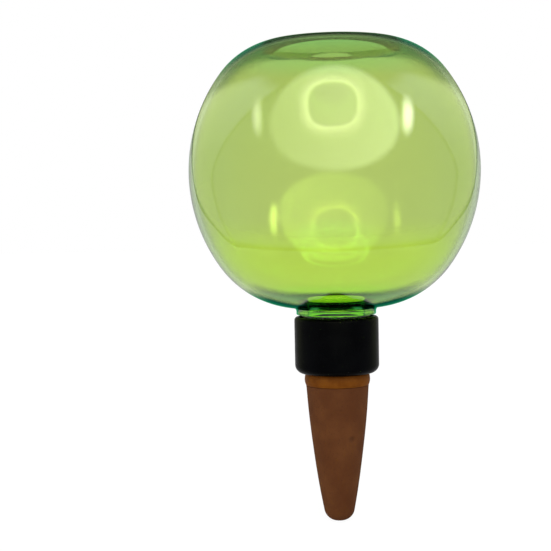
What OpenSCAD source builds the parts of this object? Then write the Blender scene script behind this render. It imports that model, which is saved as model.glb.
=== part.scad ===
// Plant watering bulb: a blown glass globe that empties through a hollow clay spike.
// A screw cap holds the two together, with a rubber grommet round the spike and a flat washer
// under the lip of the glass.
// The axis of every piece is Z. The origin is on that axis at the underside of the screw cap,
// which is where the soil comes to when the spike is pushed all the way in.

/* [Glass globe] */
// Largest outside diameter of the globe
globe_d = 150; // [130:1:170]
// How far beyond the axis the centre of the wide side arc lies
side_offset = 9.2; // [6:0.1:12]
// Radius of the arc that turns in from the side to the flat end
shoulder_r = 41.4; // [36:0.1:46]
// Angle above the widest line at which the shoulder arc takes over
shoulder_angle = 37.5; // [34:0.5:41]
// Radius of the arc that turns in from the side to the neck
belly_r = 51.2; // [46:0.1:55]
// Angle below the widest line at which the belly arc takes over
belly_angle = 35.5; // [33:0.5:39]
// Thickness of the blown wall
glass_t = 2.6; // [2:0.1:4]

/* [Flat end] */
// Outside diameter of the flat end that the globe stands on while it is filled
rest_d = 68.8; // [62:0.2:74]
// Thickness of the glass across the flat end
rest_t = 4.6; // [3:0.1:6]
// Width of the flat ring left round the shallow hollow
ring_w = 4.4; // [2:0.1:8]
// Depth of the shallow hollow at its centre
dish_depth = 3.4; // [1.5:0.1:5]
// Diameter of the small dimple at the centre of the hollow
dimple_d = 18; // [10:0.5:26]
// Depth of the small dimple below the hollow
dimple_depth = 1.3; // [0.5:0.1:2]

/* [Neck of the glass] */
// Outside diameter of the neck
neck_d = 36.6; // [35:0.1:38]
// Thickness of the glass in the neck
neck_t = 3.3; // [2.6:0.1:5]
// How far the collar above the neck stands out from it
collar_step = 2.4; // [1.4:0.1:4]
// Height of the straight edge of the collar
collar_h = 1.6; // [1:0.1:4]
// Radius of the sweep from the globe into the collar
collar_sweep = 2.2; // [1:0.1:4]
// Radius of the sweep from the inside of the globe into the bore
throat_sweep = 3; // [2:0.1:5]
// Rounding of the lip of the glass
lip_round = 1; // [0.5:0.1:1.3]
// Length of neck that shows between the cap and the collar
neck_show = 1.1; // [0.5:0.1:4]

/* [Screw cap] */
// Height of the cap
cap_h = 29.5; // [24:0.1:36]
// Thickness of the wall of the cap
cap_wall = 2.3; // [2:0.1:4]
// Thickness of the floor of the cap
cap_floor_t = 2.2; // [1.6:0.1:3]
// Radial room between the neck and the cap, where the two threads mesh
thread_gap = 1.3; // [0.8:0.1:2]
// Rounding of the upper rim of the cap
rim_round = 1.8; // [0.5:0.1:1.9]
// Rounding of the lower edge of the cap
foot_round = 4.5; // [2:0.1:4.8]

/* [Grommet and washer] */
// Radial gap between the grommet's flange and the bore of the cap
flange_gap = 0.8; // [0.3:0.1:1.2]
// Thickness of the flange under the lip of the spike
flange_t = 2; // [1:0.1:3]
// Height of the bead below the cap
bead_h = 6.3; // [4:0.1:9]
// How far the bead bulges out past its own ends
bead_bulge = 0.7; // [0.3:0.1:1.2]
// How far the bead reaches out past the edge of the hole in the cap
bead_grip = 1.45; // [1:0.05:2]
// Radial gap between the grommet and the hole in the cap
hole_gap = 0.3; // [0.2:0.05:0.5]
// Thickness of the sleeve that passes through the cap
sleeve_t = 1.8; // [1.2:0.1:2.6]
// Radial gap between the grommet and the spike
spike_gap = 0.1; // [0.05:0.05:0.3]
// Thickness of the flat sealing washer
washer_t = 1.5; // [1:0.1:2.5]
// How far the hole in the washer is set back from the bore of the spike
washer_set = 2.6; // [1:0.1:3.5]
// Gap between the washer and the lip of the glass
lip_gap = 0.05; // [0:0.01:0.2]

/* [Clay spike] */
// Diameter of the spike at its shoulder, just below the bead
spike_d = 32.7; // [31:0.1:34]
// Length of the spike from its shoulder to its tip
spike_h = 71.3; // [50:0.5:110]
// Radius of the long arc down the side of the spike
spike_side_r = 550; // [300:10:900]
// Radius of the rounded tip
tip_r = 6.6; // [5:0.1:8]
// Radius of the small flat at the very end of the tip
tip_flat = 1.5; // [0.5:0.1:3]
// Rounding of the shoulder
shoulder_round = 0.9; // [0.4:0.1:1.5]
// How far the lip above the waist stands out over the grommet
lip_step = 1.6; // [1:0.1:2]
// Thickness of the lip above the waist
spike_lip_t = 2.5; // [1.5:0.1:4]
// Thickness of the clay wall
clay_t = 4; // [3:0.1:4.8]

/* [Hidden] */
$fn = 144;
// A little extra length, so that cuts run clear of the faces that they open
over = 1;
// Angle by which the slices of the globe's outline lap over each other
lap = 8;
// The spike's side is part of a very large circle, so it is drawn more finely
side_fn = 1440;

// Diameters, from the spike outwards
bead_d = spike_d + 2 * bead_bulge;
hole_d = bead_d - 2 * bead_grip;
sleeve_d = hole_d - 2 * hole_gap;
grommet_bore_d = sleeve_d - 2 * sleeve_t;
waist_d = grommet_bore_d - 2 * spike_gap;
spike_lip_d = waist_d + 2 * lip_step;
spike_bore_d = waist_d - 2 * clay_t;
washer_bore_d = spike_bore_d + 2 * washer_set;
bore_d = neck_d - 2 * neck_t;
collar_d = neck_d + 2 * collar_step;
cap_bore_d = neck_d + 2 * thread_gap;
cap_d = cap_bore_d + 2 * cap_wall;
flange_d = cap_bore_d - 2 * flange_gap;

// Heights of the faces that the pieces share, from the underside of the cap
spike_lip_z = cap_floor_t + flange_t;
washer_z = spike_lip_z + spike_lip_t;
seat_z = washer_z + washer_t;
collar_z = cap_h + neck_show;
shoulder_z = -bead_h;
tip_z = shoulder_z - spike_h;

// Arcs of the globe, from its own centre
side_r = globe_d / 2 + side_offset;
side_c = [-side_offset, 0];
shoulder_c = arc_centre(shoulder_angle, shoulder_r);
belly_c = arc_centre(-belly_angle, belly_r);
// The flat end cuts the shoulder arc at the outside of the ring
rest_z = height_on(shoulder_c, shoulder_r, rest_d / 2);
dish_r = hollow_radius(rest_d / 2 - ring_w, dish_depth);
dish_z = rest_z - dish_depth + dish_r;
dimple_r = hollow_radius(dimple_d / 2, dimple_depth);
dimple_z = rest_z - dish_depth - dimple_depth + dimple_r;
// Centres of the sweeps into the collar and into the bore, which both touch the belly arc
collar_sweep_c = below(belly_c, belly_r + collar_sweep, collar_d / 2 + collar_sweep);
throat_sweep_c = below(belly_c, belly_r - glass_t + throat_sweep, bore_d / 2 + throat_sweep);
// The collar's lower face and the lip of the glass fix where the globe sits
globe_z = collar_z + collar_h - collar_sweep_c.y;
lip_z = seat_z + lip_gap - globe_z;

// Arcs of the spike: the side starts at the shoulder and runs smoothly into the tip
tip_c = [tip_flat, tip_z + tip_r];
spike_side_c = meeting([spike_d / 2, shoulder_z], spike_side_r, tip_c, spike_side_r - tip_r);

// Centre of an arc that leaves the globe's side arc smoothly at an angle from the widest line
function arc_centre(angle, r) = side_c + (side_r - r) * [cos(angle), sin(angle)];
// Height on the upper half of a circle at a distance from the axis
function height_on(centre, r, x) = centre.y + sqrt(r * r - (x - centre.x) * (x - centre.x));
// Point on the lower half of a circle at a distance from the axis
function below(centre, r, x) = [x, centre.y - sqrt(r * r - (x - centre.x) * (x - centre.x))];
// Radius of a shallow spherical hollow from the radius of its rim and its depth
function hollow_radius(rim, depth) = (rim * rim + depth * depth) / (2 * depth);
// Point at a distance and an angle from a centre
function polar(centre, r, angle) = centre + r * [cos(angle), sin(angle)];
// Share of the way from one centre to the other at which two circles meet
function meeting_share(a, ra, b, rb) =
    (ra * ra - rb * rb + norm(b - a) * norm(b - a)) / (2 * norm(b - a));
// The point, on the axis side, where two circles meet
function meeting(a, ra, b, rb) =
    let (u = (b - a) / norm(b - a))
    let (along = meeting_share(a, ra, b, rb))
    let (aside = sqrt(ra * ra - along * along))
    a + along * u + aside * [u.y, -u.x];

// Slice of a disc between two angles
module sector(centre, r, from, to) {
    intersection() {
        translate(centre) circle(r);
        polygon([
            centre,
            polar(centre, 2 * r, from),
            polar(centre, 2 * r, (from + to) / 2),
            polar(centre, 2 * r, to)
        ]);
    }
}

// Half section of the globe's outline, drawn in by an amount all round
module lobe(inset) {
    top = shoulder_c.y + shoulder_r - inset;
    bottom = belly_c.y - belly_r + inset;
    sector(side_c, side_r - inset, -belly_angle, shoulder_angle);
    sector(shoulder_c, shoulder_r - inset, shoulder_angle - lap, 90 + lap);
    sector(belly_c, belly_r - inset, -90 - lap, lap - belly_angle);
    polygon([
        [0, bottom],
        [belly_c.x, bottom],
        belly_c + [over, over],
        shoulder_c + [over, -over],
        [shoulder_c.x, top],
        [0, top]
    ]);
}

// Fillet between a vertical wall at x and an arc that bulges towards it
module sweep(x, centre, r, arc_c) {
    touch = centre + r * (arc_c - centre) / norm(arc_c - centre);
    difference() {
        polygon([
            [x - over, centre.y],
            centre,
            touch,
            [touch.x, touch.y + over],
            [x - over, touch.y + over]
        ]);
        translate(centre) circle(r);
    }
}

// What comes off a square corner at [x, z] to leave it rounded; the signs say which corner
module corner(x, z, r, sign_x, sign_z) {
    translate([x, z]) mirror([sign_x < 0 ? 1 : 0, 0]) mirror([0, sign_z < 0 ? 1 : 0])
        difference() {
            translate([-r, -r]) square(r + over);
            translate([-r, -r]) circle(r);
        }
}

// A half section turned round the axis, with whatever crosses the axis cut off first
module turned() {
    rotate_extrude()
        intersection() {
            translate([0, -2 * globe_d]) square([globe_d, 4 * globe_d]);
            children();
        }
}

// Half section of the solid outside of the glass, from the globe's centre
module glass_outside() {
    difference() {
        lobe(0);
        translate([-over, rest_z]) square([globe_d, globe_d]);
        translate([0, dish_z]) circle(dish_r);
        translate([0, dimple_z]) circle(dimple_r);
    }
    sweep(collar_d / 2, collar_sweep_c, collar_sweep, belly_c);
    translate([0, collar_z - globe_z]) square([collar_d / 2, collar_h + collar_sweep + over]);
    translate([0, lip_z]) square([neck_d / 2, collar_z - seat_z + collar_h]);
}

// Half section of the space inside the glass, from the globe's centre
module glass_inside() {
    difference() {
        lobe(glass_t);
        translate([0, dish_z]) circle(dish_r + rest_t);
    }
    sweep(bore_d / 2, throat_sweep_c, throat_sweep, belly_c);
    translate([-over, lip_z - over]) square([bore_d / 2 + over, belly_c.y - belly_r / 2 - lip_z]);
}

// One blown piece: the globe with its hollowed flat end, the collar and the neck
module glass_globe() {
    color([0.62, 0.8, 0.32, 0.55]) translate([0, 0, globe_z]) turned()
        difference() {
            glass_outside();
            glass_inside();
            corner(neck_d / 2, lip_z, lip_round, 1, -1);
            corner(bore_d / 2, lip_z, lip_round, -1, -1);
        }
}

// Moulded cap: an open cup with a hole through its floor for the grommet
module screw_cap() {
    color([0.06, 0.06, 0.07]) turned()
        difference() {
            square([cap_d / 2, cap_h]);
            translate([-over, cap_floor_t]) square([cap_bore_d / 2 + over, cap_h]);
            translate([-over, -over]) square([hole_d / 2 + over, cap_h]);
            corner(cap_d / 2, cap_h, rim_round, 1, 1);
            corner(cap_d / 2, 0, foot_round, 1, -1);
        }
}

// Flat ring that the lip of the glass is screwed down on
module sealing_washer() {
    color([0.3, 0.3, 0.32]) translate([0, 0, washer_z]) turned()
        translate([washer_bore_d / 2, 0]) square([(flange_d - washer_bore_d) / 2, washer_t]);
}

// Rubber ring: a flange inside the cap, a sleeve through its floor and a bead below it
module grommet() {
    bead_r = hollow_radius(bead_h / 2, bead_bulge);
    color([0.5, 0.27, 0.07]) turned()
        difference() {
            union() {
                translate([0, cap_floor_t]) square([flange_d / 2, washer_z - cap_floor_t]);
                translate([0, -over]) square([sleeve_d / 2, cap_floor_t + 2 * over]);
                intersection() {
                    translate([0, shoulder_z]) square([bead_d / 2, bead_h]);
                    translate([bead_d / 2 - bead_r, shoulder_z / 2]) circle(bead_r);
                }
                translate([0, shoulder_z]) square([sleeve_d / 2, bead_h]);
            }
            translate([-over, shoulder_z - over])
                square([grommet_bore_d / 2 + over, spike_lip_z - shoulder_z + 2 * over]);
            translate([-over, spike_lip_z]) square([spike_lip_d / 2 + spike_gap + over, bead_h]);
        }
}

// Half section of the spike below its shoulder, drawn in by an amount all round
module spike_outline(inset) {
    u = (tip_c - spike_side_c) / norm(tip_c - spike_side_c);
    touch_z = (spike_side_c + (spike_side_r - inset) * u).y;
    intersection() {
        translate(spike_side_c) circle(spike_side_r - inset, $fn = side_fn);
        translate([0, touch_z]) square([spike_d, shoulder_z - touch_z]);
    }
    intersection() {
        translate(tip_c) circle(tip_r - inset);
        translate([0, tip_z]) square([spike_d, touch_z - tip_z]);
    }
    translate([0, tip_z + inset]) square([tip_c.x, touch_z - tip_z - inset]);
}

// Unglazed clay: a hollow taper with a waist for the grommet and a lip above it
module clay_spike() {
    color([0.45, 0.27, 0.18]) turned()
        difference() {
            union() {
                spike_outline(0);
                translate([0, shoulder_z - over]) square([waist_d / 2, spike_lip_z - shoulder_z + over]);
                translate([0, spike_lip_z]) square([spike_lip_d / 2, spike_lip_t]);
            }
            corner(spike_d / 2, shoulder_z, shoulder_round, 1, 1);
            intersection() {
                spike_outline(clay_t);
                translate([-over, tip_z]) square([spike_bore_d / 2 + over, spike_h]);
            }
            translate([-over, shoulder_z - over])
                square([spike_bore_d / 2 + over, washer_z - shoulder_z + 2 * over]);
        }
}

glass_globe();
screw_cap();
sealing_washer();
grommet();
clay_spike();
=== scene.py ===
"""Looks for a plant watering bulb: a blown glass globe that stands on a hollow clay spike.

The globe, the screw cap, the grommet and the spike are turned again more finely than the frame's
own nodes, with the thread, the tooling marks and the wear that the frame leaves out.
"""

import logging
import math
from dataclasses import dataclass, field
from enum import Enum

import bmesh
import bpy
from mathutils import Matrix, Quaternion, Vector


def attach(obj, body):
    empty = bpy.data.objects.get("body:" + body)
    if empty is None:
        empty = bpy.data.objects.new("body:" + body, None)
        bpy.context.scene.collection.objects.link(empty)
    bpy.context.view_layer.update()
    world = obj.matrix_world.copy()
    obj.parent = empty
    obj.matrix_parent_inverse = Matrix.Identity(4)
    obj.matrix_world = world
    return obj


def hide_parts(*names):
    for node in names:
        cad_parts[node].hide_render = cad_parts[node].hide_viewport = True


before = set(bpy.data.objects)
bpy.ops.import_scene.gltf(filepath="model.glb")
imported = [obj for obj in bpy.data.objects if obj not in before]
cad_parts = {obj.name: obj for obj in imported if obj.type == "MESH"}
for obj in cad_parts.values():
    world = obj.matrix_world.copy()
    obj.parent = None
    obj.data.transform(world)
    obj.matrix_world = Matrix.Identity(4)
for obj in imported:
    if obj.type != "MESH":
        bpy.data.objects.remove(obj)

LOG = logging.getLogger("watering_bulb")
MM = 0.001
Point = tuple[float, float]
Colour = tuple[float, float, float]


class Hand(Enum):
    """Which way a thread climbs as it goes anticlockwise, seen from above."""

    RIGHT = 1
    LEFT = -1


# ---- Section drawing ----------------------------------------------------------------------


def polar(centre: Point, radius: float, degrees: float) -> Point:
    """Point at a distance and an angle from a centre."""
    turn = math.radians(degrees)
    return centre[0] + radius * math.cos(turn), centre[1] + radius * math.sin(turn)


def meeting(a: Point, ra: float, b: Point, rb: float, outer: bool = True) -> Point:
    """Point where two circles cross.

    Args:
        a: Centre of the first circle.
        ra: Radius of the first circle.
        b: Centre of the second circle.
        rb: Radius of the second circle.
        outer: True for the crossing further from the axis.

    Returns:
        The chosen crossing.
    """
    gap = math.dist(a, b)
    along = (ra * ra - rb * rb + gap * gap) / (2 * gap)
    aside = math.sqrt(max(ra * ra - along * along, 0.0))
    ux, uz = (b[0] - a[0]) / gap, (b[1] - a[1]) / gap
    both = [
        (a[0] + along * ux + s * aside * uz, a[1] + along * uz - s * aside * ux)
        for s in (1, -1)
    ]
    return max(both) if outer else min(both)


def hollow_radius(rim: float, depth: float) -> float:
    """Radius of a shallow hollow from the radius of its rim and its depth."""
    return (rim * rim + depth * depth) / (2 * depth)


@dataclass
class Section:
    """A half section drawn in the XZ plane and turned round Z.

    Args:
        steps: How many steps a full turn is made in.
    """

    steps: int = 192
    mesh: bmesh.types.BMesh = field(default_factory=bmesh.new)
    pen: bmesh.types.BMVert | None = None
    soft: list[tuple[bmesh.types.BMVert, float]] = field(default_factory=list)

    def start(self, at: Point) -> "Section":
        """Puts the pen down at a point in millimetres."""
        self.pen = self.mesh.verts.new((at[0] * MM, 0.0, at[1] * MM))
        return self

    def line(self, to: Point, cuts: int = 0) -> "Section":
        """Draws a straight line.

        Args:
            to: Where the line ends, in millimetres.
            cuts: How many points are put along it.

        Returns:
            The section, for the next stroke.
        """
        near, far = self.pen.co.copy(), Vector((to[0] * MM, 0.0, to[1] * MM))
        for step in range(1, cuts + 2):
            grown = bmesh.ops.extrude_vert_indiv(self.mesh, verts=[self.pen])
            self.pen = grown["verts"][0]
            self.pen.co = near.lerp(far, step / (cuts + 1))
        return self

    def arc(self, centre: Point, to: Point, steps: int) -> "Section":
        """Draws an arc the short way round its centre.

        Args:
            centre: Centre of the arc, in millimetres.
            to: Where the arc ends, in millimetres.
            steps: How many steps it is drawn in.

        Returns:
            The section, for the next stroke.
        """
        cx, cz = centre
        x, z = self.pen.co.x / MM, self.pen.co.z / MM
        turn = math.atan2(to[1] - cz, to[0] - cx) - math.atan2(z - cz, x - cx)
        turn = (turn + math.pi) % (2 * math.pi) - math.pi
        spun = bmesh.ops.spin(
            self.mesh,
            geom=[self.pen],
            cent=(cx * MM, 0.0, cz * MM),
            axis=(0.0, -1.0, 0.0),
            angle=turn,
            steps=steps,
        )
        self.pen = next(g for g in spun["geom_last"] if isinstance(g, bmesh.types.BMVert))
        return self

    def ease(self, radius: float) -> "Section":
        """Marks the corner under the pen to be rounded, by a radius in millimetres."""
        self.soft.append((self.pen, radius))
        return self

    def closed(self) -> "Section":
        """Joins the pen to where the section started."""
        self.mesh.verts.ensure_lookup_table()
        self.mesh.edges.new((self.pen, self.mesh.verts[0]))
        return self

    def turned(self) -> bmesh.types.BMesh:
        """Rounds the marked corners and turns the section into a closed shape.

        Returns:
            The turned mesh, with its faces pointing outwards.
        """
        for corner, radius in self.soft:
            bmesh.ops.bevel(
                self.mesh,
                geom=[corner],
                offset=radius * MM,
                offset_type="OFFSET",
                segments=5,
                profile=0.5,
                affect="VERTICES",
                material=-1,
            )
        bmesh.ops.spin(
            self.mesh,
            geom=self.mesh.verts[:] + self.mesh.edges[:],
            cent=(0.0, 0.0, 0.0),
            axis=(0.0, 0.0, 1.0),
            angle=2 * math.pi,
            steps=self.steps,
            use_merge=True,
            use_duplicate=False,
        )
        bmesh.ops.remove_doubles(self.mesh, verts=self.mesh.verts[:], dist=1e-6)
        bmesh.ops.recalc_face_normals(self.mesh, faces=self.mesh.faces[:])
        return self.mesh


@dataclass(frozen=True)
class Thread:
    """A rounded helical ridge on a turned wall.

    Args:
        radius: Radius of the wall that carries it, in millimetres.
        height: How far the ridge stands off the wall; negative towards the axis.
        pitch: Climb for each turn.
        width: Share of the pitch that the ridge takes up.
        bottom: Height at which it fades in.
        top: Height at which it fades out.
        start: Share of a turn by which it is turned on.
        hand: Which way it climbs.
    """

    radius: float
    height: float
    pitch: float
    width: float
    bottom: float
    top: float
    start: float = 0.0
    hand: Hand = Hand.RIGHT

    def raise_on(self, mesh: bmesh.types.BMesh) -> None:
        """Moves the wall's points out into the ridge.

        Args:
            mesh: Turned mesh whose wall is finely divided between bottom and top.
        """
        for v in mesh.verts:
            r, z = math.hypot(v.co.x, v.co.y) / MM, v.co.z / MM
            if abs(r - self.radius) > 0.02 or not self.bottom < z < self.top:
                continue
            turn = math.atan2(v.co.y, v.co.x) / (2 * math.pi) * self.hand.value
            phase = (z / self.pitch - turn - self.start) % 1.0
            away = abs(phase - 0.5) / (self.width / 2)
            if away >= 1:
                continue
            fade = min(1.0, (z - self.bottom) / 1.2, (self.top - z) / 1.2)
            rise = self.height * fade * min(1.0, 1.6 * (1 - away * away))
            v.co.x *= (r + rise) / r
            v.co.y *= (r + rise) / r


def finished(name: str, mesh: bmesh.types.BMesh, look: bpy.types.Material, body: str, nodes: list[str]) -> bpy.types.Object:
    """Makes an object of a mesh and sets it on its body.

    Args:
        name: Name of the piece.
        mesh: Its mesh, in place.
        look: Its material.
        body: Body that it rides on.
        nodes: Frame nodes that it stands for.

    Returns:
        The finished piece.
    """
    data = bpy.data.meshes.new(name)
    mesh.to_mesh(data)
    mesh.free()
    data.polygons.foreach_set("use_smooth", [True] * len(data.polygons))
    data.set_sharp_from_angle(angle=math.radians(42))
    data.materials.append(look)
    piece = bpy.data.objects.new(name, data)
    bpy.context.scene.collection.objects.link(piece)
    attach(piece, body)
    if nodes:
        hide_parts(*nodes)
    LOG.info("%s: %d faces on %s", name, len(data.polygons), body)
    return piece


# ---- Materials ----------------------------------------------------------------------------


@dataclass
class Wiring:
    """Short way of adding and joining nodes in a tree."""

    tree: bpy.types.NodeTree

    def add(self, kind: str, values: dict | None = None, **settings) -> bpy.types.Node:
        """Adds a node.

        Args:
            kind: Type of the node.
            values: What its inputs are set or joined to, by name or number.
            **settings: Its own settings.

        Returns:
            The new node.
        """
        node = self.tree.nodes.new(kind)
        for key, value in settings.items():
            setattr(node, key, value)
        for key, value in (values or {}).items():
            self.feed(node.inputs[key], value)
        return node

    def feed(self, socket: bpy.types.NodeSocket, value) -> None:
        """Sets an input to a value, or joins it to an output."""
        if isinstance(value, bpy.types.NodeSocket):
            self.tree.links.new(value, socket)
        elif isinstance(value, tuple) and len(value) == 3 and socket.type == "RGBA":
            socket.default_value = (*value, 1.0)
        else:
            socket.default_value = value

    def maths(self, operation: str, *inputs) -> bpy.types.NodeSocket:
        """Adds a Math node and gives its output."""
        values = dict(enumerate(inputs))
        return self.add("ShaderNodeMath", values, operation=operation).outputs[0]

    def blend(self, share, first, second) -> bpy.types.NodeSocket:
        """Mixes two colours by a share and gives the result."""
        mix = self.add("ShaderNodeMix", data_type="RGBA")
        for socket, value in ((0, share), (6, first), (7, second)):
            self.feed(mix.inputs[socket], value)
        return mix.outputs[2]

    def span(self, value, low: float, high: float, to_low: float = 0.0, to_high: float = 1.0) -> bpy.types.NodeSocket:
        """Maps a value smoothly from one range to another."""
        values = {0: value, 1: low, 2: high, 3: to_low, 4: to_high}
        node = self.add("ShaderNodeMapRange", values, interpolation_type="SMOOTHSTEP")
        return node.outputs[0]


def new_group(name: str, inputs: dict[str, float], outputs: dict[str, str]) -> tuple[bpy.types.NodeTree, Wiring, bpy.types.Node, bpy.types.Node]:
    """Starts a shader node group.

    Args:
        name: Name of the group.
        inputs: Number inputs and their defaults.
        outputs: Outputs and their socket types.

    Returns:
        The group, its wiring, and its input and output nodes.
    """
    group = bpy.data.node_groups.new(name, "ShaderNodeTree")
    for key, value in inputs.items():
        socket = group.interface.new_socket(key, in_out="INPUT", socket_type="NodeSocketFloat")
        socket.default_value = value
    for key, kind in outputs.items():
        group.interface.new_socket(key, in_out="OUTPUT", socket_type=kind)
    wiring = Wiring(group)
    return group, wiring, wiring.add("NodeGroupInput"), wiring.add("NodeGroupOutput")


def grain_group() -> bpy.types.NodeTree:
    """Fine grain over broad mottling, as a height and a mask.

    Returns:
        The group, with Scale and Broad as inputs and Height and Mottle as outputs.
    """
    group, w, given, out = new_group(
        "surface_grain",
        {"Scale": 2000.0, "Broad": 60.0},
        {"Height": "NodeSocketFloat", "Mottle": "NodeSocketFloat"},
    )
    place = w.add("ShaderNodeTexCoord").outputs["Object"]
    fine = w.add("ShaderNodeTexNoise", {"Vector": place, "Scale": given.outputs["Scale"], "Detail": 6.0, "Roughness": 0.6})
    broad = w.add("ShaderNodeTexNoise", {"Vector": place, "Scale": given.outputs["Broad"], "Detail": 4.0, "Roughness": 0.55})
    w.feed(out.inputs["Height"], fine.outputs[0])
    w.feed(out.inputs["Mottle"], w.span(broad.outputs[0], 0.3, 0.7))
    return group


def rings_group() -> bpy.types.NodeTree:
    """Marks that run round the axis, as a turned or thrown surface has.

    Returns:
        The group, with Spacing and Waver as inputs and Height as output.
    """
    group, w, given, out = new_group(
        "turning_marks",
        {"Spacing": 900.0, "Waver": 0.0004},
        {"Height": "NodeSocketFloat"},
    )
    place = w.add("ShaderNodeTexCoord").outputs["Object"]
    waver = w.add("ShaderNodeTexNoise", {"Vector": place, "Scale": 70.0, "Detail": 2.0})
    height = w.add("ShaderNodeSeparateXYZ", {0: place}).outputs[2]
    shifted = w.maths("ADD", height, w.maths("MULTIPLY", waver.outputs[0], given.outputs["Waver"]))
    along = w.add("ShaderNodeCombineXYZ", {2: w.maths("MULTIPLY", shifted, given.outputs["Spacing"])})
    lines = w.add("ShaderNodeTexNoise", {"Vector": along.outputs[0], "Scale": 1.0, "Detail": 3.0})
    w.feed(out.inputs["Height"], lines.outputs[0])
    return group


@dataclass(frozen=True)
class Effects:
    """The node groups that more than one finish uses."""

    grain: bpy.types.NodeTree
    rings: bpy.types.NodeTree

    @classmethod
    def build(cls) -> "Effects":
        """Makes the groups once."""
        return cls(grain=grain_group(), rings=rings_group())


def blank(name: str) -> tuple[bpy.types.Material, Wiring, bpy.types.Node]:
    """Starts a material with only its output node.

    Args:
        name: Name of the material.

    Returns:
        The material, its wiring and its output node.
    """
    look = bpy.data.materials.new(name)
    look.use_nodes = True
    look.node_tree.nodes.clear()
    wiring = Wiring(look.node_tree)
    return look, wiring, wiring.add("ShaderNodeOutputMaterial")


@dataclass(frozen=True)
class BlownGlass:
    """Yellow-green blown glass, coloured all through.

    Args:
        name: Name of the material.
        body: Colour that deep glass goes towards.
        density: How fast it goes there, for each metre.
        high: Tint of the glass from the middle up.
        low: Tint of the glass below the middle.
        deep: Tint of the flat end.
        neck: Tint of the neck.
        side: Painted shade along the outline where the wall is looked along, at the sides, in place of the light the
            glass bends there.
        rim: The same painted shade at the top and the bottom, where more of it shows.
        waviness: Depth of the slow ripple of its surface, in metres.
    """

    name: str = "green_blown_glass"
    body: Colour = (0.14, 0.51, 0.57)
    density: float = 100.0
    high: Colour = (0.823, 0.848, 0.373)
    low: Colour = (0.86, 0.935, 0.26)
    deep: Colour = (0.72, 0.95, 0.5)
    neck: Colour = (0.6, 1.0, 0.06)
    side: Colour = (0.6, 0.76, 0.35)
    rim: Colour = (0.22, 0.68, 0.45)
    waviness: float = 0.00012

    def build(self, effects: Effects) -> bpy.types.Material:
        """Makes the material."""
        look, w, out = blank(self.name)
        place = w.add("ShaderNodeTexCoord").outputs["Object"]
        ripple = w.add("ShaderNodeTexNoise", {"Vector": place, "Scale": 16.0, "Detail": 2.0})
        height = w.add("ShaderNodeSeparateXYZ", {0: place}).outputs[2]
        tint = w.blend(w.span(height, 0.058, 0.082), self.low, self.high)
        tint = w.blend(w.span(height, 0.158, 0.169), tint, self.deep)
        tint = w.blend(w.span(height, 0.034, 0.044, 1.0, 0.0), tint, self.neck)
        tint = w.blend(w.span(ripple.outputs[0], 0.35, 0.65), tint, w.blend(0.03, tint, self.deep))
        bump = w.add("ShaderNodeBump", {"Height": ripple.outputs[0], "Distance": self.waviness, "Strength": 1.0})
        glass = w.add(
            "ShaderNodeBsdfPrincipled",
            {"Base Color": tint, "Roughness": 0.0, "IOR": 1.5, "Transmission Weight": 1.0, "Normal": bump.outputs[0]},
        )
        flat = w.add("ShaderNodeVectorMath", {0: place, 1: (1.0, 1.0, 0.0)}, operation="MULTIPLY").outputs[0]
        radius = w.add("ShaderNodeVectorMath", {0: flat}, operation="LENGTH").outputs["Value"]
        shoulder = w.maths("MULTIPLY", w.span(height, 0.14, 0.165), w.span(radius, 0.033, 0.038))
        foot = w.span(height, 0.039, 0.048, 1.0, 0.0)
        ends = w.maths("MAXIMUM", shoulder, foot)
        # Painted shade along the outline: a see-through teal tint mixed in by facing, strongest at the top and the
        # foot, in place of the light the glass bends at a slant.
        facing = w.add("ShaderNodeLayerWeight", {"Blend": 0.5}).outputs["Facing"]
        at_top = w.maths("MULTIPLY", w.span(facing, 0.54, 0.82), w.maths("MULTIPLY", shoulder, 0.92))
        at_foot = w.maths("MULTIPLY", w.span(facing, 0.63, 0.8), foot)
        share = w.maths("MULTIPLY", w.span(facing, 0.7, 1.0), 0.3)
        share = w.maths("MAXIMUM", share, w.maths("MAXIMUM", at_top, at_foot))
        painted_edge_shade = w.add("ShaderNodeBsdfTransparent", {"Color": w.blend(ends, self.side, self.rim)})
        glass = w.add("ShaderNodeMixShader", {0: share, 1: glass.outputs[0], 2: painted_edge_shade.outputs[0]})
        clear = w.add("ShaderNodeBsdfTransparent", {"Color": (0.82, 0.93, 0.55)})
        shadow = w.add("ShaderNodeLightPath").outputs["Is Shadow Ray"]
        mixed = w.add("ShaderNodeMixShader", {0: shadow, 1: glass.outputs[0], 2: clear.outputs[0]})
        depth = w.add("ShaderNodeVolumeAbsorption", {"Color": self.body, "Density": self.density})
        w.feed(out.inputs["Surface"], mixed.outputs[0])
        w.feed(out.inputs["Volume"], depth.outputs[0])
        return look


@dataclass(frozen=True)
class MouldedPlastic:
    """Glossy black moulded plastic with faint flow marks.

    Args:
        name: Name of the material.
        base: Its colour.
        roughness: Roughness of the cleanest parts.
    """

    name: str = "black_moulded_plastic"
    base: Colour = (0.0005, 0.0005, 0.0006)
    roughness: float = 0.24

    def build(self, effects: Effects) -> bpy.types.Material:
        """Makes the material."""
        look, w, out = blank(self.name)
        grain = w.add("ShaderNodeGroup", node_tree=effects.grain)
        w.feed(grain.inputs["Scale"], 3500.0)
        w.feed(grain.inputs["Broad"], 90.0)
        rough = w.span(grain.outputs["Mottle"], 0.0, 1.0, self.roughness, self.roughness + 0.1)
        colour = w.blend(grain.outputs["Mottle"], self.base, tuple(2.0 * c for c in self.base))
        bump = w.add("ShaderNodeBump", {"Height": grain.outputs["Height"], "Distance": 0.00001, "Strength": 0.6})
        plastic = w.add(
            "ShaderNodeBsdfPrincipled",
            {"Base Color": colour, "Roughness": rough, "IOR": 1.46, "Specular IOR Level": 0.03, "Normal": bump.outputs[0]},
        )
        w.feed(out.inputs["Surface"], plastic.outputs[0])
        return look


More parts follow.
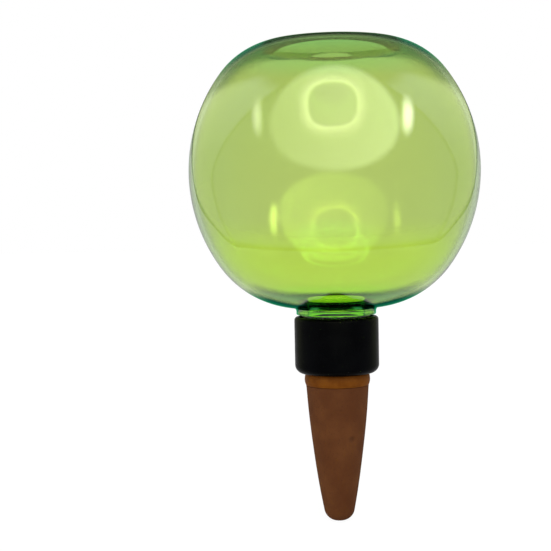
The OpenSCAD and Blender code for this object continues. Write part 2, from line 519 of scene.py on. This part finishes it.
@dataclass(frozen=True)
class SoftRubber:
    """Moulded rubber, a little dusty.

    Args:
        name: Name of the material.
        base: Its colour.
        worn: Its colour where it is rubbed or dusty.
    """

    name: str
    base: Colour
    worn: Colour

    def build(self, effects: Effects) -> bpy.types.Material:
        """Makes the material."""
        look, w, out = blank(self.name)
        grain = w.add("ShaderNodeGroup", node_tree=effects.grain)
        w.feed(grain.inputs["Scale"], 1800.0)
        w.feed(grain.inputs["Broad"], 160.0)
        rings = w.add("ShaderNodeGroup", node_tree=effects.rings)
        w.feed(rings.inputs["Spacing"], 1500.0)
        colour = w.blend(grain.outputs["Mottle"], self.base, self.worn)
        height = w.maths("ADD", grain.outputs["Height"], w.maths("MULTIPLY", rings.outputs["Height"], 0.5))
        bump = w.add("ShaderNodeBump", {"Height": height, "Distance": 0.00004, "Strength": 0.6})
        rough = w.span(grain.outputs["Mottle"], 0.0, 1.0, 0.42, 0.58)
        rubber = w.add(
            "ShaderNodeBsdfPrincipled",
            {"Base Color": colour, "Roughness": rough, "IOR": 1.5, "Specular IOR Level": 0.04, "Normal": bump.outputs[0]},
        )
        w.feed(out.inputs["Surface"], rubber.outputs[0])
        return look


@dataclass(frozen=True)
class FiredClay:
    """Unglazed red-brown clay with a fine grain and the marks of its tooling.

    Args:
        name: Name of the material.
        base: Its main colour.
        pale: Colour of the drier patches.
        dark: Colour of the pores and of the chip.
        chip_at: Where the clay is chipped, in metres.
    """

    name: str = "fired_terracotta"
    base: Colour = (0.084, 0.024, 0.0055)
    pale: Colour = (0.118, 0.04, 0.0115)
    dark: Colour = (0.04, 0.012, 0.004)
    chip_at: tuple[float, float, float] = (0.0068, -0.0115, -0.033)

    def build(self, effects: Effects) -> bpy.types.Material:
        """Makes the material."""
        look, w, out = blank(self.name)
        grain = w.add("ShaderNodeGroup", node_tree=effects.grain)
        w.feed(grain.inputs["Scale"], 1600.0)
        w.feed(grain.inputs["Broad"], 55.0)
        rings = w.add("ShaderNodeGroup", node_tree=effects.rings)
        place = w.add("ShaderNodeTexCoord").outputs["Object"]
        specks = w.add("ShaderNodeTexVoronoi", {"Vector": place, "Scale": 650.0})
        pores = w.span(specks.outputs["Distance"], 0.05, 0.2, 1.0, 0.0)
        colour = w.blend(grain.outputs["Mottle"], self.base, self.pale)
        away = w.add("ShaderNodeVectorMath", {0: place, 1: self.chip_at}, operation="DISTANCE").outputs["Value"]
        chipped = w.maths("MULTIPLY", w.span(away, 0.0006, 0.0024, 0.75, 0.0), grain.outputs["Height"])
        colour = w.blend(w.maths("MAXIMUM", w.maths("MULTIPLY", pores, 0.7), chipped), colour, self.dark)
        height = w.maths("ADD", grain.outputs["Height"], w.maths("MULTIPLY", rings.outputs["Height"], 0.6))
        height = w.maths("SUBTRACT", height, w.maths("MULTIPLY", pores, 0.5))
        bump = w.add("ShaderNodeBump", {"Height": height, "Distance": 0.00022, "Strength": 0.7})
        rough = w.span(grain.outputs["Mottle"], 0.0, 1.0, 0.78, 0.92)
        clay = w.add(
            "ShaderNodeBsdfPrincipled",
            {"Base Color": colour, "Roughness": rough, "IOR": 1.45, "Specular IOR Level": 0.1, "Normal": bump.outputs[0]},
        )
        w.feed(out.inputs["Surface"], clay.outputs[0])
        return look


# ---- The object ---------------------------------------------------------------------------


@dataclass
class Globe:
    """The blown glass globe with its hollowed flat end, its collar and its threaded neck.

    Sizes are in millimetres; heights in its section are from the globe's own centre.
    """

    width: float = 150.0
    side_offset: float = 9.2
    shoulder_r: float = 41.4
    shoulder_angle: float = 37.5
    belly_r: float = 51.2
    belly_angle: float = 35.5
    wall: float = 2.6
    rest_d: float = 68.8
    rest_t: float = 4.6
    ring_w: float = 4.4
    dish_depth: float = 3.4
    dimple_d: float = 18.0
    dimple_depth: float = 1.3
    neck_d: float = 36.6
    neck_t: float = 3.3
    collar_step: float = 2.4
    collar_h: float = 1.6
    collar_sweep: float = 2.2
    throat_sweep: float = 3.0
    collar_z: float = 30.6
    lip_z: float = 8.25
    lip_round: float = 1.0
    pitch: float = 4.5

    def __post_init__(self) -> None:
        """Works out the arcs of the outline."""
        reach = self.width / 2
        self.side_c: Point = (-self.side_offset, 0.0)
        self.side_r = reach + self.side_offset
        self.shoulder_c = polar(self.side_c, self.side_r - self.shoulder_r, self.shoulder_angle)
        self.belly_c = polar(self.side_c, self.side_r - self.belly_r, -self.belly_angle)
        rest = self.rest_d / 2
        self.rest_z = self.shoulder_c[1] + math.sqrt(self.shoulder_r**2 - (rest - self.shoulder_c[0]) ** 2)
        self.collar_r = self.neck_d / 2 + self.collar_step
        self.bore_r = self.neck_d / 2 - self.neck_t
        self.collar_c = self.below(self.belly_r + self.collar_sweep, self.collar_r + self.collar_sweep)
        self.throat_c = self.below(self.belly_r - self.wall + self.throat_sweep, self.bore_r + self.throat_sweep)
        self.centre_z = self.collar_z + self.collar_h - self.collar_c[1]

    def below(self, radius: float, x: float) -> Point:
        """Point under the belly arc's centre at a distance from it and from the axis."""
        return x, self.belly_c[1] - math.sqrt(radius**2 - (x - self.belly_c[0]) ** 2)

    def touching(self, centre: Point, radius: float) -> Point:
        """Point where a small arc touches the belly arc."""
        gap = math.dist(centre, self.belly_c)
        share = radius / gap
        return (
            centre[0] + share * (self.belly_c[0] - centre[0]),
            centre[1] + share * (self.belly_c[1] - centre[1]),
        )

    def section(self) -> Section:
        """Draws the half section, from the dimple round the outside and back up the inside.

        Returns:
            The section, in place.
        """
        up = self.centre_z

        def at(point: Point) -> Point:
            return point[0], point[1] + up

        dish_rim = self.rest_d / 2 - self.ring_w
        dish_r = hollow_radius(dish_rim, self.dish_depth)
        dish_c = (0.0, self.rest_z - self.dish_depth + dish_r)
        dimple_r = hollow_radius(self.dimple_d / 2, self.dimple_depth)
        dimple_c = (0.0, self.rest_z - self.dish_depth - self.dimple_depth + dimple_r)
        dimple_rim = meeting(dish_c, dish_r, dimple_c, dimple_r)
        pen = Section(steps=192)
        pen.start(at((0.0, dimple_c[1] - dimple_r)))
        pen.arc(at(dimple_c), at(dimple_rim), 8).ease(1.2)
        pen.arc(at(dish_c), at((dish_rim, self.rest_z)), 12).ease(1.6)
        pen.line(at((self.rest_d / 2, self.rest_z))).ease(1.6)
        pen.arc(at(self.shoulder_c), at(polar(self.shoulder_c, self.shoulder_r, self.shoulder_angle)), 28)
        pen.arc(at(self.side_c), at(polar(self.side_c, self.side_r, -self.belly_angle)), 56)
        pen.arc(at(self.belly_c), at(self.touching(self.collar_c, self.collar_sweep)), 34)
        pen.arc(at(self.collar_c), at((self.collar_r, self.collar_c[1])), 8)
        pen.line((self.collar_r, self.collar_z)).ease(0.5)
        pen.line((self.neck_d / 2, self.collar_z)).ease(0.5)
        lip = self.lip_z + self.lip_round
        pen.line((self.neck_d / 2, lip), cuts=72)
        pen.arc((self.neck_d / 2 - self.lip_round, lip), (self.neck_d / 2 - self.lip_round, self.lip_z), 5)
        pen.line((self.bore_r + self.lip_round, self.lip_z))
        pen.arc((self.bore_r + self.lip_round, lip), (self.bore_r, lip), 5)
        pen.line((self.bore_r, self.throat_c[1] + up))
        inner_top = dish_r + self.rest_t
        top_edge = meeting(self.shoulder_c, self.shoulder_r - self.wall, dish_c, inner_top)
        pen.arc(at(self.throat_c), at(self.touching(self.throat_c, self.throat_sweep)), 8)
        pen.arc(at(self.belly_c), at(polar(self.side_c, self.side_r - self.wall, -self.belly_angle)), 32)
        pen.arc(at(self.side_c), at(polar(self.side_c, self.side_r - self.wall, self.shoulder_angle)), 56)
        pen.arc(at(self.shoulder_c), at(top_edge), 26).ease(1.5)
        pen.arc(at(dish_c), at((0.0, dish_c[1] - inner_top)), 14)
        return pen

    def build(self, look: bpy.types.Material) -> bpy.types.Object:
        """Turns the globe and raises the thread on its neck.

        Args:
            look: The glass.

        Returns:
            The finished globe.
        """
        mesh = self.section().turned()
        Thread(self.neck_d / 2, 0.75, self.pitch, 0.5, self.lip_z + 1.8, self.collar_z - 2.4).raise_on(mesh)
        return finished("blown_globe", mesh, look, "globe", ["glass_globe"])


@dataclass
class ScrewCap:
    """Moulded cap with a thread inside and a hole through its floor. Sizes in millimetres."""

    width: float = 43.8
    height: float = 29.5
    bore_d: float = 39.2
    floor_t: float = 2.2
    hole_d: float = 31.2
    rim_round: float = 1.8
    foot_round: float = 4.5
    pitch: float = 4.5

    def build(self, look: bpy.types.Material) -> bpy.types.Object:
        """Turns the cap and raises the thread in its bore.

        Args:
            look: The plastic.

        Returns:
            The finished cap.
        """
        outer, bore, hole = self.width / 2, self.bore_d / 2, self.hole_d / 2
        foot, rim = self.foot_round, self.rim_round
        pen = Section(steps=192)
        pen.start((hole, 0.0))
        pen.line((outer - foot, 0.0))
        pen.arc((outer - foot, foot), (outer, foot), 12)
        pen.line((outer, self.height - rim), cuts=3)
        pen.arc((outer - rim, self.height - rim), (outer - rim, self.height), 7)
        pen.line((bore, self.height)).ease(0.25)
        pen.line((bore, self.floor_t), cuts=84).ease(0.8)
        pen.line((hole, self.floor_t)).ease(0.3)
        mesh = pen.closed().turned()
        Thread(bore, -0.75, self.pitch, 0.42, self.floor_t + 4.6, self.height - 1.6, start=0.5).raise_on(mesh)
        return finished("threaded_cap", mesh, look, "cap", ["screw_cap"])


@dataclass
class Grommet:
    """Rubber ring between the cap and the spike. Sizes in millimetres."""

    bead_r: float = 17.05
    bead_bulge: float = 0.7
    bead_h: float = 6.3
    sleeve_r: float = 15.3
    floor_t: float = 2.2
    flange_r: float = 18.8
    flange_top: float = 6.7
    recess_r: float = 15.1
    recess_z: float = 4.2
    bore_r: float = 13.5

    def build(self, look: bpy.types.Material) -> bpy.types.Object:
        """Turns the grommet.

        Args:
            look: The rubber.

        Returns:
            The finished grommet.
        """
        bulge_r = hollow_radius(self.bead_h / 2, self.bead_bulge)
        edge = self.bead_r - self.bead_bulge
        pen = Section(steps=160)
        pen.start((self.bore_r, -self.bead_h))
        pen.line((edge, -self.bead_h)).ease(0.35)
        pen.arc((self.bead_r - bulge_r, -self.bead_h / 2), (edge, 0.0), 14).ease(0.35)
        pen.line((self.sleeve_r, 0.0))
        pen.line((self.sleeve_r, self.floor_t))
        pen.line((self.flange_r, self.floor_t)).ease(0.3)
        pen.line((self.flange_r, self.flange_top)).ease(0.3)
        pen.line((self.recess_r, self.flange_top))
        pen.line((self.recess_r, self.recess_z))
        pen.line((self.bore_r, self.recess_z))
        return finished("amber_grommet", pen.closed().turned(), look, "spike_assembly", ["grommet"])


@dataclass
class Spike:
    """Hollow clay spike with a waist for the grommet. Sizes in millimetres."""

    shoulder_r: float = 16.35
    shoulder_z: float = -6.3
    shoulder_round: float = 0.9
    length: float = 71.3
    side_r: float = 550.0
    tip_r: float = 6.6
    tip_flat: float = 1.5
    waist_r: float = 13.4
    lip_r: float = 15.0
    lip_z: float = 4.2
    lip_t: float = 2.5
    bore_r: float = 9.4
    wall: float = 4.0
    chip_at: tuple[float, float, float] = (6.8, -11.5, -33.0)
    chip_r: float = 2.3

    def section(self) -> Section:
        """Draws the half section, from the tip round the outside and down the bore.

        Returns:
            The section, in place.
        """
        tip_z = self.shoulder_z - self.length
        tip_c = (self.tip_flat, tip_z + self.tip_r)
        side_c = meeting((self.shoulder_r, self.shoulder_z), self.side_r, tip_c, self.side_r - self.tip_r, outer=False)
        gap = math.dist(tip_c, side_c)
        touch = tuple(c + self.tip_r * (c - s) / gap for c, s in zip(tip_c, side_c))
        pen = Section(steps=160)
        pen.start((0.0, tip_z))
        pen.line((self.tip_flat, tip_z))
        pen.arc(tip_c, touch, 14)
        pen.arc(side_c, (self.shoulder_r, self.shoulder_z), 110).ease(self.shoulder_round)
        pen.line((self.waist_r, self.shoulder_z))
        pen.line((self.waist_r, self.lip_z))
        pen.line((self.lip_r, self.lip_z)).ease(0.3)
        pen.line((self.lip_r, self.lip_z + self.lip_t)).ease(0.5)
        pen.line((self.bore_r, self.lip_z + self.lip_t)).ease(0.5)
        inner_r = self.side_r - self.wall
        turn_z = side_c[1] - math.sqrt(inner_r**2 - (self.bore_r - side_c[0]) ** 2)
        inner_touch = tuple(c + (self.tip_r - self.wall) * (c - s) / gap for c, s in zip(tip_c, side_c))
        pen.line((self.bore_r, turn_z))
        pen.arc(side_c, inner_touch, 12)
        pen.arc(tip_c, (self.tip_flat, tip_z + self.wall), 6)
        pen.line((0.0, tip_z + self.wall))
        return pen

    def tool(self, mesh: bmesh.types.BMesh) -> None:
        """Presses the uneven hand of the tooling and a small chip into the outside.

        Args:
            mesh: The turned spike; its points only move inwards.
        """
        chip = Vector(self.chip_at) * MM
        for v in mesh.verts:
            r = math.hypot(v.co.x, v.co.y)
            if v.co.z > (self.shoulder_z - 1.0) * MM or r < (self.wall + 0.5) * MM:
                continue
            if r < 0.7 * self.outer_radius(v.co.z / MM) * MM:
                continue
            turn = math.atan2(v.co.y, v.co.x)
            sway = 0.5 + 0.25 * math.sin(3 * turn + 90 * v.co.z) + 0.25 * math.sin(2 * turn - 170 * v.co.z + 1)
            away = (v.co - chip).length / (self.chip_r * MM)
            bite = 0.55 * max(0.0, 1 - away * away) ** 2
            v.co.x *= 1 - (0.12 * sway + bite) * MM / r
            v.co.y *= 1 - (0.12 * sway + bite) * MM / r

    def outer_radius(self, z: float) -> float:
        """Rough radius of the outside at a height, enough to tell it from the bore."""
        down = (self.shoulder_z - z) / self.length
        return self.shoulder_r * (1 - 0.62 * down)

    def build(self, look: bpy.types.Material) -> bpy.types.Object:
        """Turns the spike and tools it.

        Args:
            look: The clay.

        Returns:
            The finished spike.
        """
        mesh = self.section().turned()
        self.tool(mesh)
        return finished("hollow_spike", mesh, look, "spike_assembly", ["clay_spike"])


# ---- The studio ---------------------------------------------------------------------------


@dataclass(frozen=True)
class Card:
    """A glowing card that the glass and the gloss reflect.

    Args:
        name: Name of the card.
        azimuth: Direction from the globe, in degrees from the front towards the right.
        elevation: Height of that direction, in degrees.
        half: Half of its width and of its height, as angles in degrees.
        glow: How bright it is.
        distance: How far from the globe it hangs, in metres.
        power: Squareness: 2 gives an ellipse, more gives a rounded square.
        hole: Share of its size at which a dark middle ends; 0 for none.
        edge: Share of its size over which its edge fades.
        roll: How far it leans, in degrees anticlockwise as seen from behind it.
        slope: Share by which its right side is brighter and its left side dimmer.
        colour: Its colour.
    """

    name: str
    azimuth: float
    elevation: float
    half: tuple[float, float]
    glow: float
    distance: float
    power: float = 2.0
    hole: float = 0.0
    edge: float = 0.15
    roll: float = 0.0
    slope: float = 0.0
    colour: Colour = (1.0, 0.98, 0.9)

    def look(self) -> bpy.types.Material:
        """Makes the card's material.

        Returns:
            A glow that fades out at the edge, and in again at the hole if it has one.
        """
        look, w, out = blank(self.name + "_glow")
        place = w.add("ShaderNodeTexCoord").outputs["Object"]
        parts = w.add("ShaderNodeSeparateXYZ", {0: place})
        powers = [w.maths("POWER", w.maths("ABSOLUTE", parts.outputs[i]), self.power) for i in (0, 1)]
        reach = w.maths("POWER", w.maths("ADD", *powers), 1.0 / self.power)
        shape = w.span(reach, 1.0 - self.edge, 1.0, 1.0, 0.0)
        if self.hole:
            shape = w.maths("MULTIPLY", shape, w.span(reach, self.hole - 0.04, self.hole + 0.04))
        level = w.maths("MULTIPLY_ADD", parts.outputs[0], self.slope * self.glow, self.glow)
        through = w.add("ShaderNodeLightPath").outputs["Is Transmission Ray"]
        level = w.maths("MULTIPLY", level, w.maths("ADD", w.maths("MULTIPLY", through, 0.7), 1.0))
        glow = w.add("ShaderNodeEmission", {"Color": self.colour, "Strength": level})
        clear = w.add("ShaderNodeBsdfTransparent")
        mixed = w.add("ShaderNodeMixShader", {0: shape, 1: clear.outputs[0], 2: glow.outputs[0]})
        w.feed(out.inputs["Surface"], mixed.outputs[0])
        return look

    def hang(self, middle: Vector) -> bpy.types.Object:
        """Hangs the card facing a point.

        Args:
            middle: What it faces.

        Returns:
            The card.
        """
        mesh = bmesh.new()
        bmesh.ops.create_grid(mesh, x_segments=1, y_segments=1, size=1.0)
        data = bpy.data.meshes.new(self.name)
        mesh.to_mesh(data)
        mesh.free()
        data.materials.append(self.look())
        card = bpy.data.objects.new(self.name, data)
        bpy.context.scene.collection.objects.link(card)
        turn, rise = math.radians(self.azimuth), math.radians(self.elevation)
        away = Vector((math.sin(turn) * math.cos(rise), -math.cos(turn) * math.cos(rise), math.sin(rise)))
        card.location = middle + away * self.distance
        card.rotation_mode = "QUATERNION"
        card.rotation_quaternion = away.to_track_quat("Z", "Y") @ Quaternion((0.0, 0.0, 1.0), math.radians(self.roll))
        card.scale = (*(self.distance * math.tan(math.radians(h)) for h in self.half), 1.0)
        hide_from_lens(card)
        return card


def hide_from_lens(thing: bpy.types.Object) -> None:
    """Leaves a card or tent to be seen only in reflections and through glass."""
    thing.visible_camera = False
    thing.visible_diffuse = False
    thing.visible_shadow = False
    thing.visible_volume_scatter = False


@dataclass
class Studio:
    """Floor, backdrop, lamps, cards and camera.

    Args:
        floor_z: Height of the floor.
        middle: Middle of the globe.
    """

    floor_z: float
    middle: Vector

    cards: tuple[Card, ...] = (
        Card("round_softbox", 1.0, 36.0, (50.0, 40.0), 2.8, 1.2, edge=0.2, slope=0.4, colour=(0.98, 1.05, 0.84)),
        Card("square_ring", 0.0, 43.5, (26.0, 25.0), 5.8, 1.0, power=2.6, hole=0.6, edge=0.42, colour=(1.0, 1.0, 0.75)),
        Card("left_strip", -67.0, 31.0, (5.5, 16.0), 4.4, 1.1, power=2.4, edge=0.85, roll=35.0),
        Card("right_strip", 65.0, 30.0, (6.0, 16.0), 11.0, 1.1, power=2.4, edge=0.85, roll=-35.0),
    )
    hem: tuple[Point, ...] = (
        (0.0, -57.0),
        (42.0, -53.0),
        (74.0, -45.0),
        (95.0, -37.0),
        (110.0, -30.0),
        (123.0, -17.0),
        (137.0, -6.0),
        (145.0, 2.0),
        (153.0, 6.0),
        (180.0, 8.0),
    )
    room: tuple[float, float] = (0.84, 0.1)
    wall: tuple[float, float] = (0.9, 1.7)
    lit_ceiling: float = 0.8
    ceiling: tuple[float, float] = (25.0, 42.0)

    def lay_floor(self) -> None:
        """Lays a pale floor that keeps a soft shadow and shows white."""
        mesh = bmesh.new()
        bmesh.ops.create_grid(mesh, x_segments=1, y_segments=1, size=6.0)
        data = bpy.data.meshes.new("floor")
        mesh.to_mesh(data)
        mesh.free()
        look, w, out = blank("pale_floor")
        matt = w.add("ShaderNodeBsdfDiffuse", {"Color": (0.9, 0.9, 0.9)})
        white = w.add("ShaderNodeEmission", {"Color": (1.0, 1.0, 1.0), "Strength": 1.06})
        path = w.add("ShaderNodeLightPath")
        seen = w.maths("MAXIMUM", path.outputs["Is Camera Ray"], path.outputs["Is Glossy Ray"])
        seen = w.maths("MAXIMUM", seen, path.outputs["Is Transmission Ray"])
        share = w.maths("MULTIPLY", seen, 0.88)
        mixed = w.add("ShaderNodeMixShader", {0: share, 1: matt.outputs[0], 2: white.outputs[0]})
        w.feed(out.inputs["Surface"], mixed.outputs[0])
        data.materials.append(look)
        floor = bpy.data.objects.new("floor", data)
        floor.location.z = self.floor_z
        floor.visible_glossy = False
        bpy.context.scene.collection.objects.link(floor)

    def hang_flag(self) -> None:
        """Hangs a dark tent round the table, which only reflections see.

        Its hem is low at the front and rises to the horizon behind, so the gloss shows the white
        table below the hem and the dim room above it.
        """
        mesh = bmesh.new()
        bmesh.ops.create_uvsphere(mesh, u_segments=96, v_segments=48, radius=2.2)
        data = bpy.data.meshes.new("dark_tent")
        mesh.to_mesh(data)
        mesh.free()
        look, w, out = blank("dark_cloth")
        place = w.add("ShaderNodeTexCoord").outputs["Object"]
        way = w.add("ShaderNodeVectorMath", {0: place}, operation="NORMALIZE").outputs[0]
        parts = w.add("ShaderNodeSeparateXYZ", {0: way})
        side = w.maths("ABSOLUTE", parts.outputs[0])
        turn = w.maths("DIVIDE", w.maths("ARCTAN2", side, w.maths("MULTIPLY", parts.outputs[1], -1.0)), math.pi)
        rise = w.maths("MULTIPLY", w.maths("ARCSINE", parts.outputs[2]), 180 / math.pi)
        curve = w.add("ShaderNodeFloatCurve", {"Value": turn})
        points = curve.mapping.curves[0].points
        for index, (degrees, elevation) in enumerate(self.hem):
            spot = (degrees / 180, (elevation + 90) / 180)
            if index in (0, len(self.hem) - 1):
                points[-1 if index else 0].location = spot
            else:
                points.new(*spot)
        curve.mapping.update()
        hem = w.maths("SUBTRACT", w.maths("MULTIPLY", curve.outputs[0], 180.0), 90.0)
        above = w.maths("SUBTRACT", rise, hem)
        bearing = w.maths("MULTIPLY", turn, 180.0)
        under_lid = w.maths("SUBTRACT", w.maths("MULTIPLY_ADD", bearing, -0.6, 109.0), rise)
        past_jamb = w.maths("ADD", w.maths("MULTIPLY_ADD", w.maths("MAXIMUM", rise, 0.0), 0.9, -107.0), bearing)
        wall = w.maths("MULTIPLY", w.span(under_lid, -5.0, 5.0), w.span(past_jamb, -2.0, 2.0))
        wall = w.maths("MULTIPLY", wall, w.span(rise, 45.0, 58.0, 1.0, 0.0))
        wall = w.maths("MULTIPLY", wall, w.span(rise, 0.0, 35.0, *self.wall))
        dim = w.maths("MULTIPLY", w.span(rise, 30.0, 72.0, *self.room), w.span(bearing, 90.0, 130.0, 1.0, 0.6))
        level = w.maths("MULTIPLY", w.span(above, 0.5, 5.0), w.maths("MAXIMUM", dim, wall))
        level = w.maths("MULTIPLY", level, w.span(w.maths("ABSOLUTE", past_jamb), 0.5, 3.5, 0.6, 1.0))
        through = w.add("ShaderNodeLightPath").outputs["Is Transmission Ray"]
        level = w.maths("MAXIMUM", level, w.maths("MULTIPLY", through, self.lit_ceiling))
        hue = w.blend(w.span(bearing, 85.0, 135.0), (0.8, 0.85, 1.0), (0.92, 1.0, 0.55))
        glow = w.add("ShaderNodeEmission", {"Color": hue, "Strength": level})
        clear = w.add("ShaderNodeBsdfTransparent")
        cloth = w.add(
            "ShaderNodeMix",
            {0: through, 2: w.span(above, -0.7, 0.7), 3: w.span(rise, *self.ceiling)},
            data_type="FLOAT",
        )
        mixed = w.add("ShaderNodeMixShader", {0: cloth.outputs[0], 1: clear.outputs[0], 2: glow.outputs[0]})
        w.feed(out.inputs["Surface"], mixed.outputs[0])
        data.materials.append(look)
        flag = bpy.data.objects.new("dark_tent", data)
        flag.location = self.middle
        bpy.context.scene.collection.objects.link(flag)
        hide_from_lens(flag)

    def light_world(self) -> None:
        """Gives the backdrop: white to look at, and plain soft light on the object."""
        world = bpy.data.worlds.new("white_sweep")
        world.use_nodes = True
        world.node_tree.nodes.clear()
        w = Wiring(world.node_tree)
        path = w.add("ShaderNodeLightPath")
        seen = w.maths("MAXIMUM", path.outputs["Is Camera Ray"], path.outputs["Is Transmission Ray"])
        level = w.maths("ADD", 0.7, w.maths("MULTIPLY", seen, 0.3))
        light = w.add("ShaderNodeBackground", {"Color": (1.0, 1.0, 1.0), "Strength": level})
        out = w.add("ShaderNodeOutputWorld", {"Surface": light.outputs[0]})
        LOG.info("world: %s", out.name)
        bpy.context.scene.world = world
        bpy.context.scene.view_settings.view_transform = "Standard"

    def hang_lamp(self, name: str, at: Vector, size: float, watts: float) -> None:
        """Hangs a soft round lamp that faces the object and shows in no reflection.

        Args:
            name: Name of the lamp.
            at: Where it hangs.
            size: Its width.
            watts: Its power.
        """
        data = bpy.data.lights.new(name, "AREA")
        data.shape = "DISK"
        data.size = size
        data.energy = watts
        lamp = bpy.data.objects.new(name, data)
        lamp.location = at
        lamp.rotation_mode = "QUATERNION"
        lamp.rotation_quaternion = (at - self.middle).to_track_quat("Z", "Y")
        lamp.visible_camera = lamp.visible_glossy = lamp.visible_transmission = False
        bpy.context.scene.collection.objects.link(lamp)

    def set_camera(self) -> None:
        """Sets the camera where the photograph was taken from."""
        yaw, pitch, roll = (math.radians(a) for a in (-2.955, -2.646, -1.115))
        ahead = Vector((math.sin(yaw) * math.cos(pitch), math.cos(yaw) * math.cos(pitch), math.sin(pitch)))
        right = Vector((math.cos(yaw), -math.sin(yaw), 0.0))
        up = right.cross(ahead)
        across = math.cos(roll) * right + math.sin(roll) * up
        over = math.cos(roll) * up - math.sin(roll) * right
        data = bpy.data.cameras.new("camera")
        data.sensor_width = 36.0
        data.lens = 76.12
        data.clip_start = 0.02
        data.clip_end = 30.0
        camera = bpy.data.objects.new("camera", data)
        turn = Matrix((across, over, -ahead)).transposed().to_4x4()
        camera.matrix_world = Matrix.Translation((0.0, -0.6058, 0.07916)) @ turn
        bpy.context.scene.collection.objects.link(camera)
        bpy.context.scene.camera = camera

    def build(self) -> None:
        """Sets up everything round the object."""
        self.lay_floor()
        self.hang_flag()
        self.light_world()
        for card in self.cards:
            card.hang(self.middle)
        self.hang_lamp("key_lamp", self.middle + Vector((0.35, -0.9, 0.85)), 0.9, 7.0)
        self.hang_lamp("fill_lamp", self.middle + Vector((-0.9, -0.5, 0.3)), 0.9, 2.5)
        self.set_camera()


def dress_washer(look: bpy.types.Material) -> None:
    """Gives the frame's own washer its rubber.

    Args:
        look: The rubber.
    """
    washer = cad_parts["sealing_washer"]
    for slot in washer.material_slots:
        slot.material = look
    LOG.info("sealing_washer keeps its own shape")


def main() -> None:
    """Builds the object and the studio."""
    logging.basicConfig(level=logging.INFO)
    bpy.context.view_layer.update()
    effects = Effects.build()
    globe = Globe()
    globe.build(BlownGlass().build(effects))
    ScrewCap().build(MouldedPlastic().build(effects))
    Grommet().build(SoftRubber("amber_rubber", (0.115, 0.031, 0.001), (0.17, 0.052, 0.004)).build(effects))
    spike = Spike()
    spike.build(FiredClay().build(effects))
    dress_washer(SoftRubber("grey_rubber", (0.06, 0.06, 0.065), (0.1, 0.1, 0.105)).build(effects))
    floor_z = (spike.shoulder_z - spike.length) * MM
    Studio(floor_z, Vector((0.0, 0.0, globe.centre_z * MM))).build()


if __name__ == "__main__":
    main()
